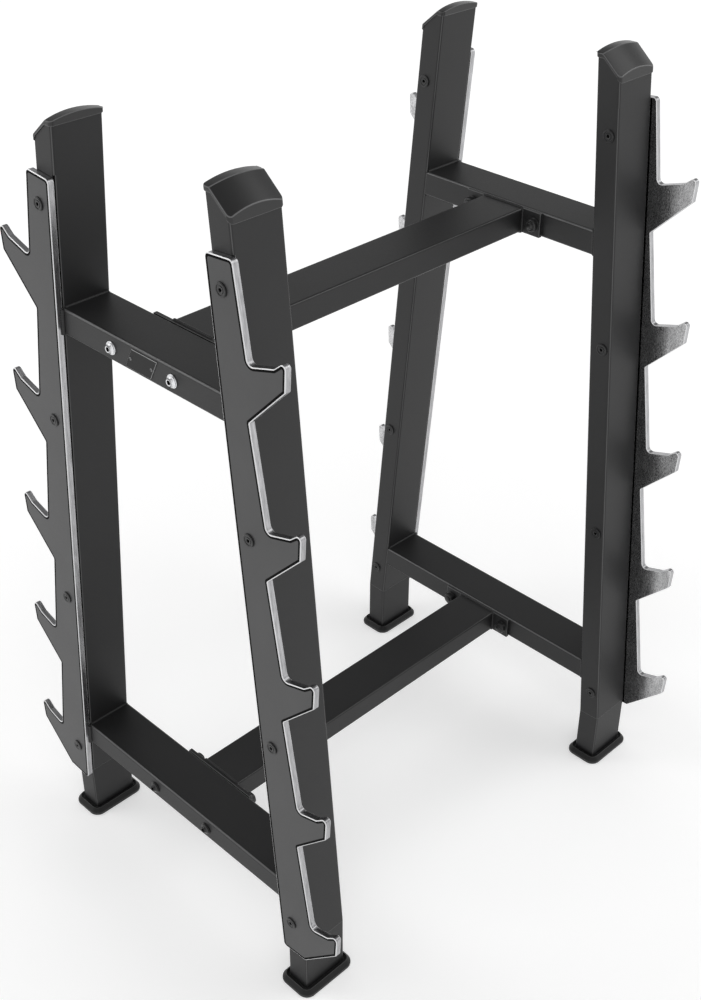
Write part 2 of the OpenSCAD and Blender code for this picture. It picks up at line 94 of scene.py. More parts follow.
@dataclass(frozen=True)
class RackSizes:
    """The sizes that several sub-assemblies share."""

    outer_x: float = 0.5025
    tube_wide: float = 0.1
    tube_narrow: float = 0.05
    tube_corner: float = 0.005
    outer_y: float = 0.361
    bend: float = 0.126
    lean: float = math.radians(5.0)
    plate_thick: float = 0.012
    flange_thick: float = 0.008
    bolt_spacing: float = 0.158

    @property
    def inner_x(self) -> float:
        """The distance of an upright's near face from the middle."""
        return self.outer_x - self.tube_wide

    @property
    def flange_x(self) -> float:
        """The distance of a flange's near face from the middle."""
        return self.inner_x - self.flange_thick

    @property
    def half_high(self) -> float:
        """Half the height of a beam or cross member."""
        return self.tube_narrow / 2

    def on_upright(self, side: Side, end: End, x: float, out: float, along: float) -> Vector:
        """Places a point: x from the middle, out of the upright's outer face, along from its bend."""
        reach, rise = math.cos(self.lean), math.sin(self.lean)
        return Vector((side.value * x, end.value * (self.outer_y + out * reach - along * rise),
                       self.bend + out * rise + along * reach))

    def inner_face_y(self, z: float) -> float:
        """The distance from the middle plane to an upright's inner face, at a height."""
        across = self.tube_narrow / math.cos(self.lean)
        return self.outer_y - across - (z - self.bend) * math.tan(self.lean)


SIZES = RackSizes()


class NodeTree:
    """A shader or geometry tree that is written as calls."""

    def __init__(self, tree: bpy.types.NodeTree) -> None:
        """Wraps the tree that the calls add nodes to."""
        self.tree = tree

    @classmethod
    def cleared(cls, owner: bpy.types.Material | bpy.types.World) -> "NodeTree":
        """Empties the tree of a material or world.

        Args:
            owner: The material or world.

        Returns:
            Its tree.
        """
        owner.use_nodes = True
        owner.node_tree.nodes.clear()
        return cls(owner.node_tree)

    def add(self, kind: str, inputs: dict | None = None, **settings: object) -> bpy.types.Node:
        """Adds a node.

        Args:
            kind: The node's type name.
            inputs: What feeds the inputs, by their names or numbers.
            **settings: The node's own settings.

        Returns:
            The new node.
        """
        node = self.tree.nodes.new(kind)
        for key, value in settings.items():
            setattr(node, key, value)
        for key, value in (inputs or {}).items():
            self.feed(node.inputs[key], value)
        return node

    def feed(self, socket: NodeSocket, value: object) -> None:
        """Links a socket or sets its value.

        Args:
            socket: The input to fill.
            value: A socket, a node whose first output is meant, or a plain value.
        """
        if isinstance(value, bpy.types.Node):
            value = value.outputs[0]
        if isinstance(value, NodeSocket):
            self.tree.links.new(value, socket)
        else:
            socket.default_value = value

    def group(self, name: str, inputs: dict) -> bpy.types.Node:
        """Adds the shader node group of a name and feeds its inputs."""
        return self.add("ShaderNodeGroup", inputs, node_tree=bpy.data.node_groups[name])

    def math(self, operation: str, a: object, b: object = 0.0, clamp: bool = False) -> NodeSocket:
        """Adds a sum of two values, held between 0 and 1 if it is clamped."""
        return self.add("ShaderNodeMath", {0: a, 1: b}, operation=operation, use_clamp=clamp).outputs[0]

    def noise(self, vector: object, scale: object, detail: float = 2.0) -> NodeSocket:
        """Adds a noise of a number of features along a metre and a number of finer layers."""
        inputs = {"Vector": vector, "Scale": scale, "Detail": detail}
        return self.add("ShaderNodeTexNoise", inputs).outputs[0]

    def remap(self, value: object, low: object, high: object, to_low: object = 0.0,
              to_high: object = 1.0) -> NodeSocket:
        """Stretches the range from low to high to another range, and holds the ends."""
        inputs = {"Value": value, "From Min": low, "From Max": high, "To Min": to_low, "To Max": to_high}
        return self.add("ShaderNodeMapRange", inputs).outputs[0]

    def seen(self) -> NodeSocket:
        """Adds a mask of the rays that reach the camera straight, off a mirror or through glass.

        Returns:
            The mask's socket.
        """
        rays = self.add("ShaderNodeLightPath").outputs
        seen = self.math("ADD", rays["Is Camera Ray"], rays["Is Glossy Ray"], clamp=True)
        return self.math("ADD", seen, rays["Is Transmission Ray"], clamp=True)


def new_group(name: str, kind: str, inputs: dict[str, str], outputs: dict[str, str]) -> tuple[
        NodeTree, bpy.types.NodeOutputs, bpy.types.NodeInputs]:
    """Starts a node group.

    Args:
        name: The group's name.
        kind: The group's type name.
        inputs: The kind of socket of each input, by its name.
        outputs: The kind of socket of each output, by its name.

    Returns:
        The tree, the sockets that it is given and the sockets of its results.
    """
    group = bpy.data.node_groups.new(name, kind)
    for way, sockets in (("INPUT", inputs), ("OUTPUT", outputs)):
        for title, socket in sockets.items():
            group.interface.new_socket(title, in_out=way, socket_type=f"NodeSocket{socket}")
    tree = NodeTree(group)
    return tree, tree.add("NodeGroupInput").outputs, tree.add("NodeGroupOutput").inputs


class ShaderEffects:
    """The shader node groups that the finishes share."""

    TONE = "Coat tone"
    GRAIN = "Surface grain"
    REACH = "Reach out of the upright"
    WOBBLE_SCALE = 25.0
    TONE_LAYERS = (("Cloud", 3.0, (0.3, 0.7)), ("Speck", 1.0, (0.35, 0.65)))
    COARSE_SCALE = 0.23
    FINE_SHARE = 0.6
    COARSE_SHARE = 0.4

    def build(self) -> None:
        """Builds the groups."""
        self.build_tone()
        self.build_grain()
        self.build_reach()

    def build_reach(self) -> None:
        """Makes a mask that grows with the distance out of the upright's outer face."""
        tree, given, result = new_group(
            self.REACH, "ShaderNodeTree",
            {"Vector": "Vector", "From": "Float", "To": "Float", "Wobble": "Float"}, {"Value": "Float"})
        place = tree.add("ShaderNodeSeparateXYZ", {0: given["Vector"]}).outputs
        across = tree.math("SUBTRACT", tree.math("ABSOLUTE", place["Y"]), SIZES.outer_y)
        along = tree.math("SUBTRACT", place["Z"], SIZES.bend)
        out = tree.math("ADD", tree.math("MULTIPLY", across, math.cos(SIZES.lean)),
                        tree.math("MULTIPLY", along, math.sin(SIZES.lean)))
        wobble = tree.math("MULTIPLY", tree.noise(given["Vector"], self.WOBBLE_SCALE), given["Wobble"])
        tree.feed(result["Value"], tree.remap(tree.math("ADD", out, wobble), given["From"], given["To"]))

    def build_tone(self) -> None:
        """Makes the slow, cloudy change of tone over a surface and its fine specks."""
        tree, given, result = new_group(
            self.TONE, "ShaderNodeTree",
            {"Vector": "Vector", "Colour": "Color", "Clouds": "Float", "Cloud scale": "Float",
             "Specks": "Float", "Speck scale": "Float"},
            {"Colour": "Color"})
        parts = []
        for layer, detail, span in self.TONE_LAYERS:
            noise = tree.noise(given["Vector"], given[f"{layer} scale"], detail)
            parts.append(tree.math("MULTIPLY", tree.remap(noise, *span, -1.0, 1.0), given[f"{layer}s"]))
        level = tree.math("ADD", tree.math("ADD", *parts), 1.0)
        tree.feed(result["Colour"], tree.add(
            "ShaderNodeVectorMath", {0: given["Colour"], "Scale": level}, operation="SCALE"))

    def build_grain(self) -> None:
        """Makes the grain of a sprayed, moulded or cut surface: its height and its roughness."""
        tree, given, result = new_group(
            self.GRAIN, "ShaderNodeTree",
            {"Vector": "Vector", "Grain scale": "Float", "Roughness": "Float", "Roughness change": "Float"},
            {"Height": "Float", "Roughness": "Float"})
        fine = tree.noise(given["Vector"], given["Grain scale"])
        coarse_scale = tree.math("MULTIPLY", given["Grain scale"], self.COARSE_SCALE)
        coarse = tree.noise(given["Vector"], coarse_scale, detail=1.0)
        height = tree.math("ADD", tree.math("MULTIPLY", fine, self.FINE_SHARE),
                           tree.math("MULTIPLY", coarse, self.COARSE_SHARE))
        change = tree.math("MULTIPLY", tree.math("SUBTRACT", height, 0.5), given["Roughness change"])
        tree.feed(result["Height"], height)
        tree.feed(result["Roughness"], tree.math("ADD", given["Roughness"], change, clamp=True))


@dataclass(frozen=True)
class Finish:
    """A coat or a bare surface. Its scales are counts of features along a metre."""

    name: str
    slot: str
    colour: Colour
    roughness: float
    metallic: float = 0.0
    specular: float = 0.5
    clouds: float = 0.1
    cloud_scale: float = 9.0
    specks: float = 0.06
    speck_scale: float = 900.0
    grain_scale: float = 1400.0
    grain_height: float = 0.00002
    stretch: tuple[float, float, float] = (1.0, 1.0, 1.0)
    roughness_change: float = 0.2
    worn_gain: float = 0.0
    worn_grain: float = 0.1
    worn_reach: Pair = (0.058, 0.072)
    wobble: float = 0.012
    # The seam shade fields darken the face next to the upright's outer face: painted shade.
    seam_shade: float = 0.04
    seam_reach: Pair = (0.0005, 0.003)

    def material(self) -> bpy.types.Material:
        """Builds the finish's material, or finds the one that is built already.

        Returns:
            The material.
        """
        found = bpy.data.materials.get(self.name)
        if found:
            return found
        material = bpy.data.materials.new(self.name)
        tree = NodeTree.cleared(material)
        here = tree.add("ShaderNodeTexCoord").outputs["Object"]
        place = tree.add("ShaderNodeVectorMath", {0: here, 1: self.stretch}, operation="MULTIPLY")
        colour: object = tree.group(ShaderEffects.TONE, {
            "Vector": place, "Colour": (*self.colour, 1.0), "Clouds": self.clouds,
            "Cloud scale": self.cloud_scale, "Specks": self.specks, "Speck scale": self.speck_scale})
        grain = tree.group(ShaderEffects.GRAIN, {
            "Vector": place, "Grain scale": self.grain_scale, "Roughness": self.roughness,
            "Roughness change": self.roughness_change}).outputs
        grain_height: object = self.grain_height
        # The worn mask brightens and smooths the hooks' outer zone; the seam mask darkens the face beside
        # the upright as painted shade.
        if self.worn_gain:
            worn, seam_shade_fade = (
                tree.group(ShaderEffects.REACH, {"Vector": here, "From": low, "To": high, "Wobble": wobble})
                for low, high, wobble in ((*self.worn_reach, self.wobble), (*self.seam_reach, 0.0)))
            gain = tree.math("MULTIPLY", tree.remap(worn, 0.0, 1.0, 1.0, 1.0 + self.worn_gain),
                             tree.remap(seam_shade_fade, 0.0, 1.0, self.seam_shade, 1.0))
            colour = tree.add("ShaderNodeVectorMath", {0: colour, "Scale": gain}, operation="SCALE")
            grain_height = tree.remap(worn, 0.0, 1.0, self.grain_height, self.grain_height * self.worn_grain)
        bump = tree.add("ShaderNodeBump", {"Height": grain["Height"], "Distance": grain_height})
        shader = tree.add("ShaderNodeBsdfPrincipled", {
            "Base Color": colour, "Roughness": grain["Roughness"], "Metallic": self.metallic,
            "Specular IOR Level": self.specular, "Normal": bump})
        tree.add("ShaderNodeOutputMaterial", {"Surface": shader})
        return material


MERGE_DISTANCE = 0.00025
FLAT_ANGLE = math.radians(0.4)
TURNED_SMOOTH = math.radians(32.0)
FACE_WEIGHT = 100
PAIR_COUNT = 2
SOCKET_NUMBER = 1
HIGHLIGHT_NUMBER = 1
GAP_NUMBER = 2
SEED = 7
# How squarely the facets of an upright's corner face its plate where the painted highlight line starts,
# and where the painted shade of the gap starts and ends.
LINE_START = 0.1
GAP_START = 0.42
GAP_END = 0.97
BUTTON_BULGE = -0.16

POWDER_COAT = Finish("satin_black_powder_coat", "frame_paint", (0.01, 0.01, 0.0104), 0.5, specular=0.46)
# Painted shade: a near-black coat on an upright's corner facets beside its saddle plate and on the badge's
# side walls, standing in for the shadow in the gap.
GAP_SHADE = Finish("bare_coat_in_the_gap", "frame_paint", (0.002, 0.002, 0.002), 0.7, specular=0.05)
# Painted shade: the hollow of a hex socket, coloured near black.
SOCKET_SHADE = Finish("dark_socket", "dark_steel", (0.005, 0.005, 0.005), 0.6, specular=0.2)
# Painted highlight: a lighter coat on the tubes' round corners and broken edges, standing in for the light
# they catch.
HIGHLIGHT_COAT = Finish("burnished_coat_edge", "frame_paint", (0.075, 0.075, 0.076), 0.3)
PLATE_COAT = Finish("dark_grey_plate_coat", "plate_paint", (0.046, 0.046, 0.047), 0.4, specks=0.1)
# Painted shade: a near-black line just inside the plate's rim, standing in for the shade and dark reflection
# along the coated edge.
SHADE_LINE_COAT = Finish("dark_coat_line", "plate_paint", (0.001, 0.001, 0.001), 0.6, specular=0.05)
BARE_PLATE = Finish("bare_textured_steel", "plate_paint", (0.31, 0.31, 0.314), 0.27, metallic=1.0,
                    clouds=0.2, cloud_scale=60.0, specks=0.26, speck_scale=430.0, grain_scale=430.0,
                    grain_height=0.00032, stretch=(1.0, 1.0, 0.5), worn_gain=0.7)
CUT_EDGE = Finish("bright_cut_steel", "plate_paint", (0.41, 0.41, 0.42), 0.28, metallic=1.0, clouds=0.22,
                  cloud_scale=300.0, specks=0.12, speck_scale=800.0, grain_scale=700.0,
                  grain_height=0.000012, stretch=(1.0, 0.08, 0.08))
# Painted highlight: the plate's chamfer, near white, stands in for the light caught along its edge.
PLATE_HIGHLIGHT_RIM = Finish("polished_plate_rim", "plate_paint", (0.92, 0.92, 0.93), 0.35, metallic=0.1, specular=0.8,
                   clouds=0.05, specks=0.04, grain_height=0.000005)
ZINC = Finish("bright_zinc", "zinc_plate", (0.78, 0.785, 0.8), 0.3, metallic=0.9, cloud_scale=200.0,
              grain_height=0.000004)
BLACK_OXIDE = Finish("black_oxide_steel", "dark_steel", (0.014, 0.014, 0.0145), 0.32, cloud_scale=120.0,
                     grain_height=0.000006)
CAP_PLASTIC = Finish("moulded_black_plastic", "black_plastic", (0.012, 0.012, 0.0123), 0.34,
                     grain_scale=1800.0, grain_height=0.000012)
# Painted highlight: a lighter plastic on the caps' broken edges, standing in for the light line along the
# ridge.
CAP_HIGHLIGHT_RIDGE = Finish("polished_plastic_ridge", "black_plastic", (0.11, 0.11, 0.112), 0.25,
                   grain_height=0.000005)
RUBBER = Finish("moulded_black_rubber", "rubber", (0.008, 0.008, 0.008), 0.5, specular=0.35,
                grain_scale=1100.0)
# Painted highlight: a lighter rubber on the feet's broken edges, standing in for the light rim line.
RUBBER_HIGHLIGHT_RIM = Finish("worn_rubber_rim", "rubber", (0.035, 0.035, 0.035), 0.4, grain_scale=1100.0)
BADGE_COAT = Finish("dark_badge_coat", "badge_paint", (0.003, 0.003, 0.0031), 0.45, specular=0.24)
# Painted highlight: a light finish on the badge's broken edges.
BADGE_HIGHLIGHT_RIM = Finish("worn_badge_rim", "badge_paint", (0.3, 0.3, 0.303), 0.3)
BADGE_STEEL = Finish("dull_screw_steel", "dark_steel", (0.2, 0.2, 0.203), 0.3, metallic=0.5,
                     cloud_scale=200.0, grain_height=0.000004)


def hand_over(piece: Object, slot: str, *nodes: str) -> None:
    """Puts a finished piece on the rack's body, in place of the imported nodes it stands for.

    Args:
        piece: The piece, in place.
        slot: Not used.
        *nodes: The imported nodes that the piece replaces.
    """
    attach(piece, BODY)
    if nodes:
        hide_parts(*nodes)
    log.info("%s: %d faces", piece.name, len(piece.data.polygons))


@contextmanager
def editing(mesh: Mesh) -> Iterator[BMesh]:
    """Opens a mesh for edits and writes them back at the end.

    Args:
        mesh: The mesh.

    Yields:
        The mesh in work.
    """
    shape = bmesh.new()
    shape.from_mesh(mesh)
    yield shape
    shape.to_mesh(mesh)
    shape.free()


def shade_by_angle(mesh: Mesh, angle: float) -> None:
    """Shades a mesh smooth, with hard edges where its faces turn by more than an angle.

    Args:
        mesh: The mesh.
        angle: The angle, in radians.
    """
    with editing(mesh) as shape:
        for face in shape.faces:
            face.smooth = True
        for edge in shape.edges:
            edge.smooth = len(edge.link_faces) == 2 and edge.calc_face_angle(0.0) < angle


def apply_modifiers(source: Object) -> None:
    """Turns an object and its modifiers into a plain mesh.

    Args:
        source: The object. Its mesh is replaced and its modifiers are removed.
    """
    evaluated = source.evaluated_get(bpy.context.evaluated_depsgraph_get())
    plain = bpy.data.meshes.new_from_object(evaluated)
    plain.name = source.name
    source.modifiers.clear()
    source.data = plain


def new_object(name: str, data: bpy.types.ID) -> Object:
    """Adds an object to the scene.

    Args:
        name: The object's name.
        data: Its mesh, camera or light.

    Returns:
        The object.
    """
    made = bpy.data.objects.new(name, data)
    bpy.context.scene.collection.objects.link(made)
    return made


@dataclass(frozen=True)
class EdgeRound:
    """How the sharp edges of a piece are broken."""

    width: float
    steps: int = 2
    sharp_over: float = math.radians(25.0)
    smooth_under: float = math.radians(35.0)


def merged_copy(node: str, finishes: Sequence[Finish]) -> Object:
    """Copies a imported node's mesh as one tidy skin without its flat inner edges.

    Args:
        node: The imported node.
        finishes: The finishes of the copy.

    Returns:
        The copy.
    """
    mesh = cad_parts[node].data.copy()
    mesh.name = f"dressed_{node}"
    mesh.materials.clear()
    with editing(mesh) as shape:
        bmesh.ops.remove_doubles(shape, verts=shape.verts, dist=MERGE_DISTANCE)
        bmesh.ops.dissolve_limit(shape, angle_limit=FLAT_ANGLE, verts=shape.verts, edges=shape.edges)
    for finish in finishes:
        mesh.materials.append(finish.material())
    return new_object(f"dressed_{node}", mesh)


def weigh_normals(piece: Object) -> None:
    """Lets the large flat faces of a piece set its normals, so that they look flat.

    Args:
        piece: The piece, with its hard edges marked.
    """
    weighted = piece.modifiers.new("weighted_normals", "WEIGHTED_NORMAL")
    weighted.mode = "FACE_AREA"
    weighted.weight = FACE_WEIGHT
    weighted.keep_sharp = True
    apply_modifiers(piece)


def round_edges(piece: Object, edge: EdgeRound) -> None:
    """Breaks the sharp edges of a piece, in its painted highlight finish, and shades it smooth.

    Args:
        piece: The piece.
        edge: How the edges are broken.
    """
    bevel = piece.modifiers.new("edge_round", "BEVEL")
    bevel.width = edge.width
    bevel.segments = edge.steps
    bevel.limit_method = "ANGLE"
    bevel.angle_limit = edge.sharp_over
    bevel.material = HIGHLIGHT_NUMBER
    bevel.use_clamp_overlap = False
    apply_modifiers(piece)
    shade_by_angle(piece.data, edge.smooth_under)
    weigh_normals(piece)


@dataclass(frozen=True)
class DressedNode:
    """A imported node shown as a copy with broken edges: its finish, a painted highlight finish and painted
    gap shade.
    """

    node: str
    edge: EdgeRound
    finish: Finish = POWDER_COAT
    painted_highlight_finish: Finish = HIGHLIGHT_COAT
    round_corners: bool = False
    corner_cosine: float = 0.8
    plate_node: str = ""
    painted_shade_walls: bool = False

    def build(self) -> None:
        """Builds the piece."""
        piece = merged_copy(self.node, (self.finish, self.painted_highlight_finish, GAP_SHADE))
        plate_top = self.cut_at_plate(piece.data) if self.plate_node else 0.0
        # Painted shade: on the badge, the side walls that do not face along X take the near-black gap
        # finish.
        for face in piece.data.polygons:
            dark = self.painted_shade_walls and abs(face.normal.x) < self.corner_cosine
            face.material_index = GAP_NUMBER if dark else 0
        round_edges(piece, self.edge)
        # Painted highlight and shade on a tube's round corners: beside its plate, the facets turned to the
        # plate take the gap finish and the one before a light line; elsewhere the corner facets take the
        # highlight finish.
        for face in piece.data.polygons if self.round_corners else ():
            at_plate = face.normal.x * face.center.x > 0 and face.center.z < plate_top
            toward = abs(face.normal.x)
            if at_plate and LINE_START < toward < GAP_END:
                face.material_index = GAP_NUMBER if toward > GAP_START else HIGHLIGHT_NUMBER
            elif max(abs(part) for part in face.normal) < self.corner_cosine:
                face.material_index = HIGHLIGHT_NUMBER
        hand_over(piece, self.finish.slot, self.node)

    def cut_at_plate(self, mesh: Mesh) -> float:
        """Parts the faces of an upright at the upper end of its saddle plate.

        Args:
            mesh: The upright's mesh.

        Returns:
            The height of the plate's upper end.
        """
        top = max(vertex.co.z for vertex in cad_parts[self.plate_node].data.vertices)
        with editing(mesh) as shape:
            everything = [*shape.verts, *shape.edges, *shape.faces]
            bmesh.ops.bisect_plane(shape, geom=everything, plane_co=(0.0, 0.0, top),
                                   plane_no=(0.0, 0.0, 1.0))
        return top


@dataclass
class EndFrames:
    """The uprights, foot tubes and cross members, and the beams and flanges between them."""

    tube_edge: EdgeRound = EdgeRound(0.0007)
    flange_edge: EdgeRound = EdgeRound(0.001, 3)
    wide_corner: float = 0.93

    def build(self) -> None:
        """Builds all painted steel of the frame."""
        for side in Side:
            for end in End:
                corner = label(side, end)
                self.build_tube(f"{corner}_upright", plate_node=f"{corner}_saddle_plate")
                self.build_tube(f"{corner}_foot_tube")
            for level in Level:
                place = label(level, side)
                self.build_tube(f"{place}_cross_member", corner_cosine=self.wide_corner)
                DressedNode(f"{place}_flange", self.flange_edge).build()
        for level in Level:
            self.build_tube(f"{label(level)}_beam")

    def build_tube(self, node: str, **settings: object) -> None:
        """Builds one tube, with a painted highlight along its round corners and painted shade in the gap
        beside its plate.
        """
        DressedNode(node, self.tube_edge, round_corners=True, **settings).build()


@dataclass
class SaddlePlates:
    """The four hooked plates: a coated outer face, a bare inner face and a bright cut edge."""

    chamfer: float = 0.0011
    smooth_under: float = math.radians(30.0)
    face_cosine: float = 0.9
    rim_wide: float = 0.0004
    line_wide: float = 0.004
    coat_number: int = 0
    bare_number: int = 1
    cut_number: int = 2
    rim_number: int = 3
    line_number: int = 4

    def build(self) -> None:
        """Builds the plates."""
        for side, end in product(Side, End):
            node = f"{label(side, end)}_saddle_plate"
            piece = merged_copy(node, (PLATE_COAT, BARE_PLATE, CUT_EDGE, PLATE_HIGHLIGHT_RIM, SHADE_LINE_COAT))
            for face in piece.data.polygons:
                out = face.normal.x * side.value
                face.material_index = (self.coat_number if out > self.face_cosine else
                                       self.bare_number if out < -self.face_cosine else self.cut_number)
            with editing(piece.data) as shape:
                self.finish_edges(shape, side)
            shade_by_angle(piece.data, self.smooth_under)
            weigh_normals(piece)
            hand_over(piece, PLATE_COAT.slot, node)

    def finish_edges(self, shape: BMesh, side: Side) -> None:
        """Chamfers both outlines and draws a painted highlight rim and a painted shade line inside the
        coated one.

        Args:
            shape: The plate's mesh in work.
            side: The plate's side.
        """
        bmesh.ops.triangulate(shape, faces=[face for face in shape.faces
                                            if face.material_index != self.cut_number])
        outlines = []
        for number in (self.coat_number, self.bare_number):
            border = [edge for edge in shape.edges
                      if sum(face.material_index == number for face in edge.link_faces) == 1]
            outlines += edge_loops(border)[0][1]
        bmesh.ops.bevel(shape, geom=outlines, offset=self.chamfer, segments=1, profile=0.5,
                        affect="EDGES", clamp_overlap=False, material=self.rim_number)
        coat = [face for face in shape.faces if face.material_index == self.coat_number]
        bmesh.ops.delete(shape, geom=coat, context="FACES")
        outer, *holes = [verts for verts, _ in edge_loops(
            [edge for edge in shape.edges if len(edge.link_faces) == 1])]
        points = [vert.co.copy() for vert in outer]
        rim, line = ([shape.verts.new(point) for point in inset_loop(points, far)]
                     for far in (self.rim_wide, self.rim_wide + self.line_wide))
        for number, loops in ((self.rim_number, [outer, rim]), (self.line_number, [rim, line]),
                              (self.coat_number, [line, *holes])):
            fill_loops(shape, loops, number, side)


def edge_loops(border: list[BMEdge]) -> list[tuple[list[BMVert], list[BMEdge]]]:
    """Sorts the edges of outlines into closed loops, in an order that is the same each run.

    Args:
        border: The edges.

    Returns:
        The corners and the edges of each loop, in order, with the longest loop first.
    """
    loose = dict.fromkeys(border)
    loops = []
    while loose:
        edge = next(iter(loose))
        del loose[edge]
        first, here = edge.verts
        verts, edges = [first], [edge]
        while here is not first:
            verts.append(here)
            edge = next(edge for edge in here.link_edges if edge in loose)
            del loose[edge]
            edges.append(edge)
            here = edge.other_vert(here)
        loops.append((verts, edges))
    return sorted(loops, key=lambda loop: -sum(edge.calc_length() for edge in loop[1]))


def inset_loop(points: list[Vector], far: float, step: float = 0.001, slack: float = 0.000002,
               straight: float = 0.9999) -> list[Vector]:
    """Makes the loop that runs inside a flat loop at a fixed distance.

    Args:
        points: The loop's corners, in a plane across X.
        far: The distance.
        step: The longest way between two samples of the loop.
        slack: By how much a point may lie too close to the loop.
        straight: The cosine of the turn over which a point is kept as a corner.

    Returns:
        The inner loop's corners. Where it would cross itself, the crossing part is left out.
    """
    count = len(points)
    turn = math.copysign(1.0, sum(a.y * b.z - b.y * a.z for a, b in zip(points, points[1:] + points[:1])))
    samples: list[tuple[Vector, Vector]] = []
    for i, point in enumerate(points):
        ahead = points[(i + 1) % count] - point
        way = ahead.normalized()
        middle = ((point - points[i - 1]).normalized() + way).normalized()
        samples.append((point, Vector((0.0, -middle.z, middle.y)) * turn))
        steps = math.ceil(ahead.length / step)
        samples += [(point + ahead * (k + 0.5) / steps, Vector((0.0, -way.z, way.y)) * turn)
                    for k in range(steps)]
    near = KDTree(len(samples))
    for number, (place, _) in enumerate(samples):
        near.insert(place, number)
    near.balance()
    inner = [place + inward * far for place, inward in samples]
    inner = [place for place in inner if near.find(place)[2] > far - slack]
    return [place for i, place in enumerate(inner)
            if (place - inner[i - 1]).normalized().dot((inner[(i + 1) % len(inner)] - place).normalized())
            < straight]


def fill_loops(shape: BMesh, loops: list[list[BMVert]], number: int, side: Side,
               scale: float = 1000.0) -> None:
    """Fills the flat region between loops with triangles.

    Args:
        shape: The mesh in work.
        loops: The outer loop and the loops inside it.
        number: The number of the faces' material.
        side: The side that the faces look to.
        scale: How much the loops are enlarged before they are cut into triangles.
    """
    verts = [vert for loop in loops for vert in loop]
    flat = [[Vector((vert.co.y, vert.co.z, 0.0)) * scale for vert in loop] for loop in loops]
    for corners in tessellate_polygon(flat):
        face = shape.faces.new([verts[i] for i in corners])
        face.material_index = number
        face.normal_update()
        if face.normal.x * side.value < 0:
            face.normal_flip()


@dataclass
class PlasticAndRubber:
    """The caps in the tops of the uprights and the rubber feet under them."""

    cap_edge: EdgeRound = EdgeRound(0.0012, 2, smooth_under=math.radians(24.0))
    foot_edge: EdgeRound = EdgeRound(0.0009, 2, math.radians(30.0), math.radians(28.0))

    def build(self) -> None:
        """Builds the caps and feet."""
        for side, end in product(Side, End):
            corner = label(side, end)
            # The edge finishes are painted highlights: a lighter ridge on the caps and a lighter rim on the
            # feet.
            DressedNode(f"{corner}_top_cap", self.cap_edge, CAP_PLASTIC, CAP_HIGHLIGHT_RIDGE).build()
            DressedNode(f"{corner}_rubber_foot", self.foot_edge, RUBBER, RUBBER_HIGHLIGHT_RIM).build()


@dataclass(frozen=True)
class Ring:
    """A ring of a turned piece: its place along the axis, its radius and whether it is a hexagon."""

    along: float
    radius: float
    hexagon: bool = False


def turned_mesh(name: str, rings: Sequence[Ring], steps: int = 48, bored: bool = False) -> Mesh:
    """Skins rings about X into a closed turned piece.

    Args:
        name: The mesh's name.
        rings: The rings, along the profile.
        steps: The number of points of a ring, a multiple of six.
        bored: Whether the last ring joins the first. Otherwise a flat face closes each end.

    Returns:
        The mesh.
    """
    points = []
    for ring, i in product(rings, range(steps)):
        angle = 2 * math.pi * i / steps
        radius = ring.radius
        if ring.hexagon:
            radius /= math.cos((angle + math.pi / 6) % (math.pi / 3) - math.pi / 6)
        points.append((ring.along, radius * math.cos(angle), radius * math.sin(angle)))
    count = len(rings)
    faces: list[tuple[int, ...]] = [] if bored else [tuple(reversed(range(steps)))]
    for r, i in product(range(count if bored else count - 1), range(steps)):
        j, beyond = (i + 1) % steps, (r + 1) % count
        faces.append((r * steps + i, r * steps + j, beyond * steps + j, beyond * steps + i))
    if not bored:
        faces.append(tuple(range((count - 1) * steps, count * steps)))
    mesh = bpy.data.meshes.new(name)
    mesh.from_pydata(points, [], faces)
    sockets = [r for r, ring in enumerate(rings) if ring.hexagon]
    # From the first hexagon ring on, the faces form the socket's hollow and take the painted socket shade.
    for face in mesh.polygons[1 + sockets[0] * steps:] if sockets else ():
        face.material_index = SOCKET_NUMBER
    with editing(mesh) as shape:
        bmesh.ops.recalc_face_normals(shape, faces=shape.faces)
    shade_by_angle(mesh, TURNED_SMOOTH)
    return mesh


def arc_rings(start: Pair, end: Pair, bulge: float, steps: int) -> list[Ring]:
    """Makes rings along an arc between two points of a profile.

    Args:
        start: The first point: how far along the axis, and the radius.
        end: The last point.
        bulge: How far the arc's middle stands out to the left of the line, as a share of its length.
        steps: The number of steps.

    Returns:
        The rings, with both ends.
    """
    a, b = Vector(start), Vector(end)
    side = Vector((-(b - a).y, (b - a).x))
    return [Ring(*(a.lerp(b, i / steps) + side * bulge * 4 * (i / steps) * (1 - i / steps)))
            for i in range(steps + 1)]


def quarter_rings(start: Pair, end: Pair, steps: int) -> list[Ring]:
    """Makes rings along a quarter ellipse that leaves along the axis and arrives square to it."""
    angles = [math.pi / 2 * i / steps for i in range(steps + 1)]
    return [Ring(start[0] + (end[0] - start[0]) * math.sin(angle),
                 end[1] + (start[1] - end[1]) * math.cos(angle)) for angle in angles]


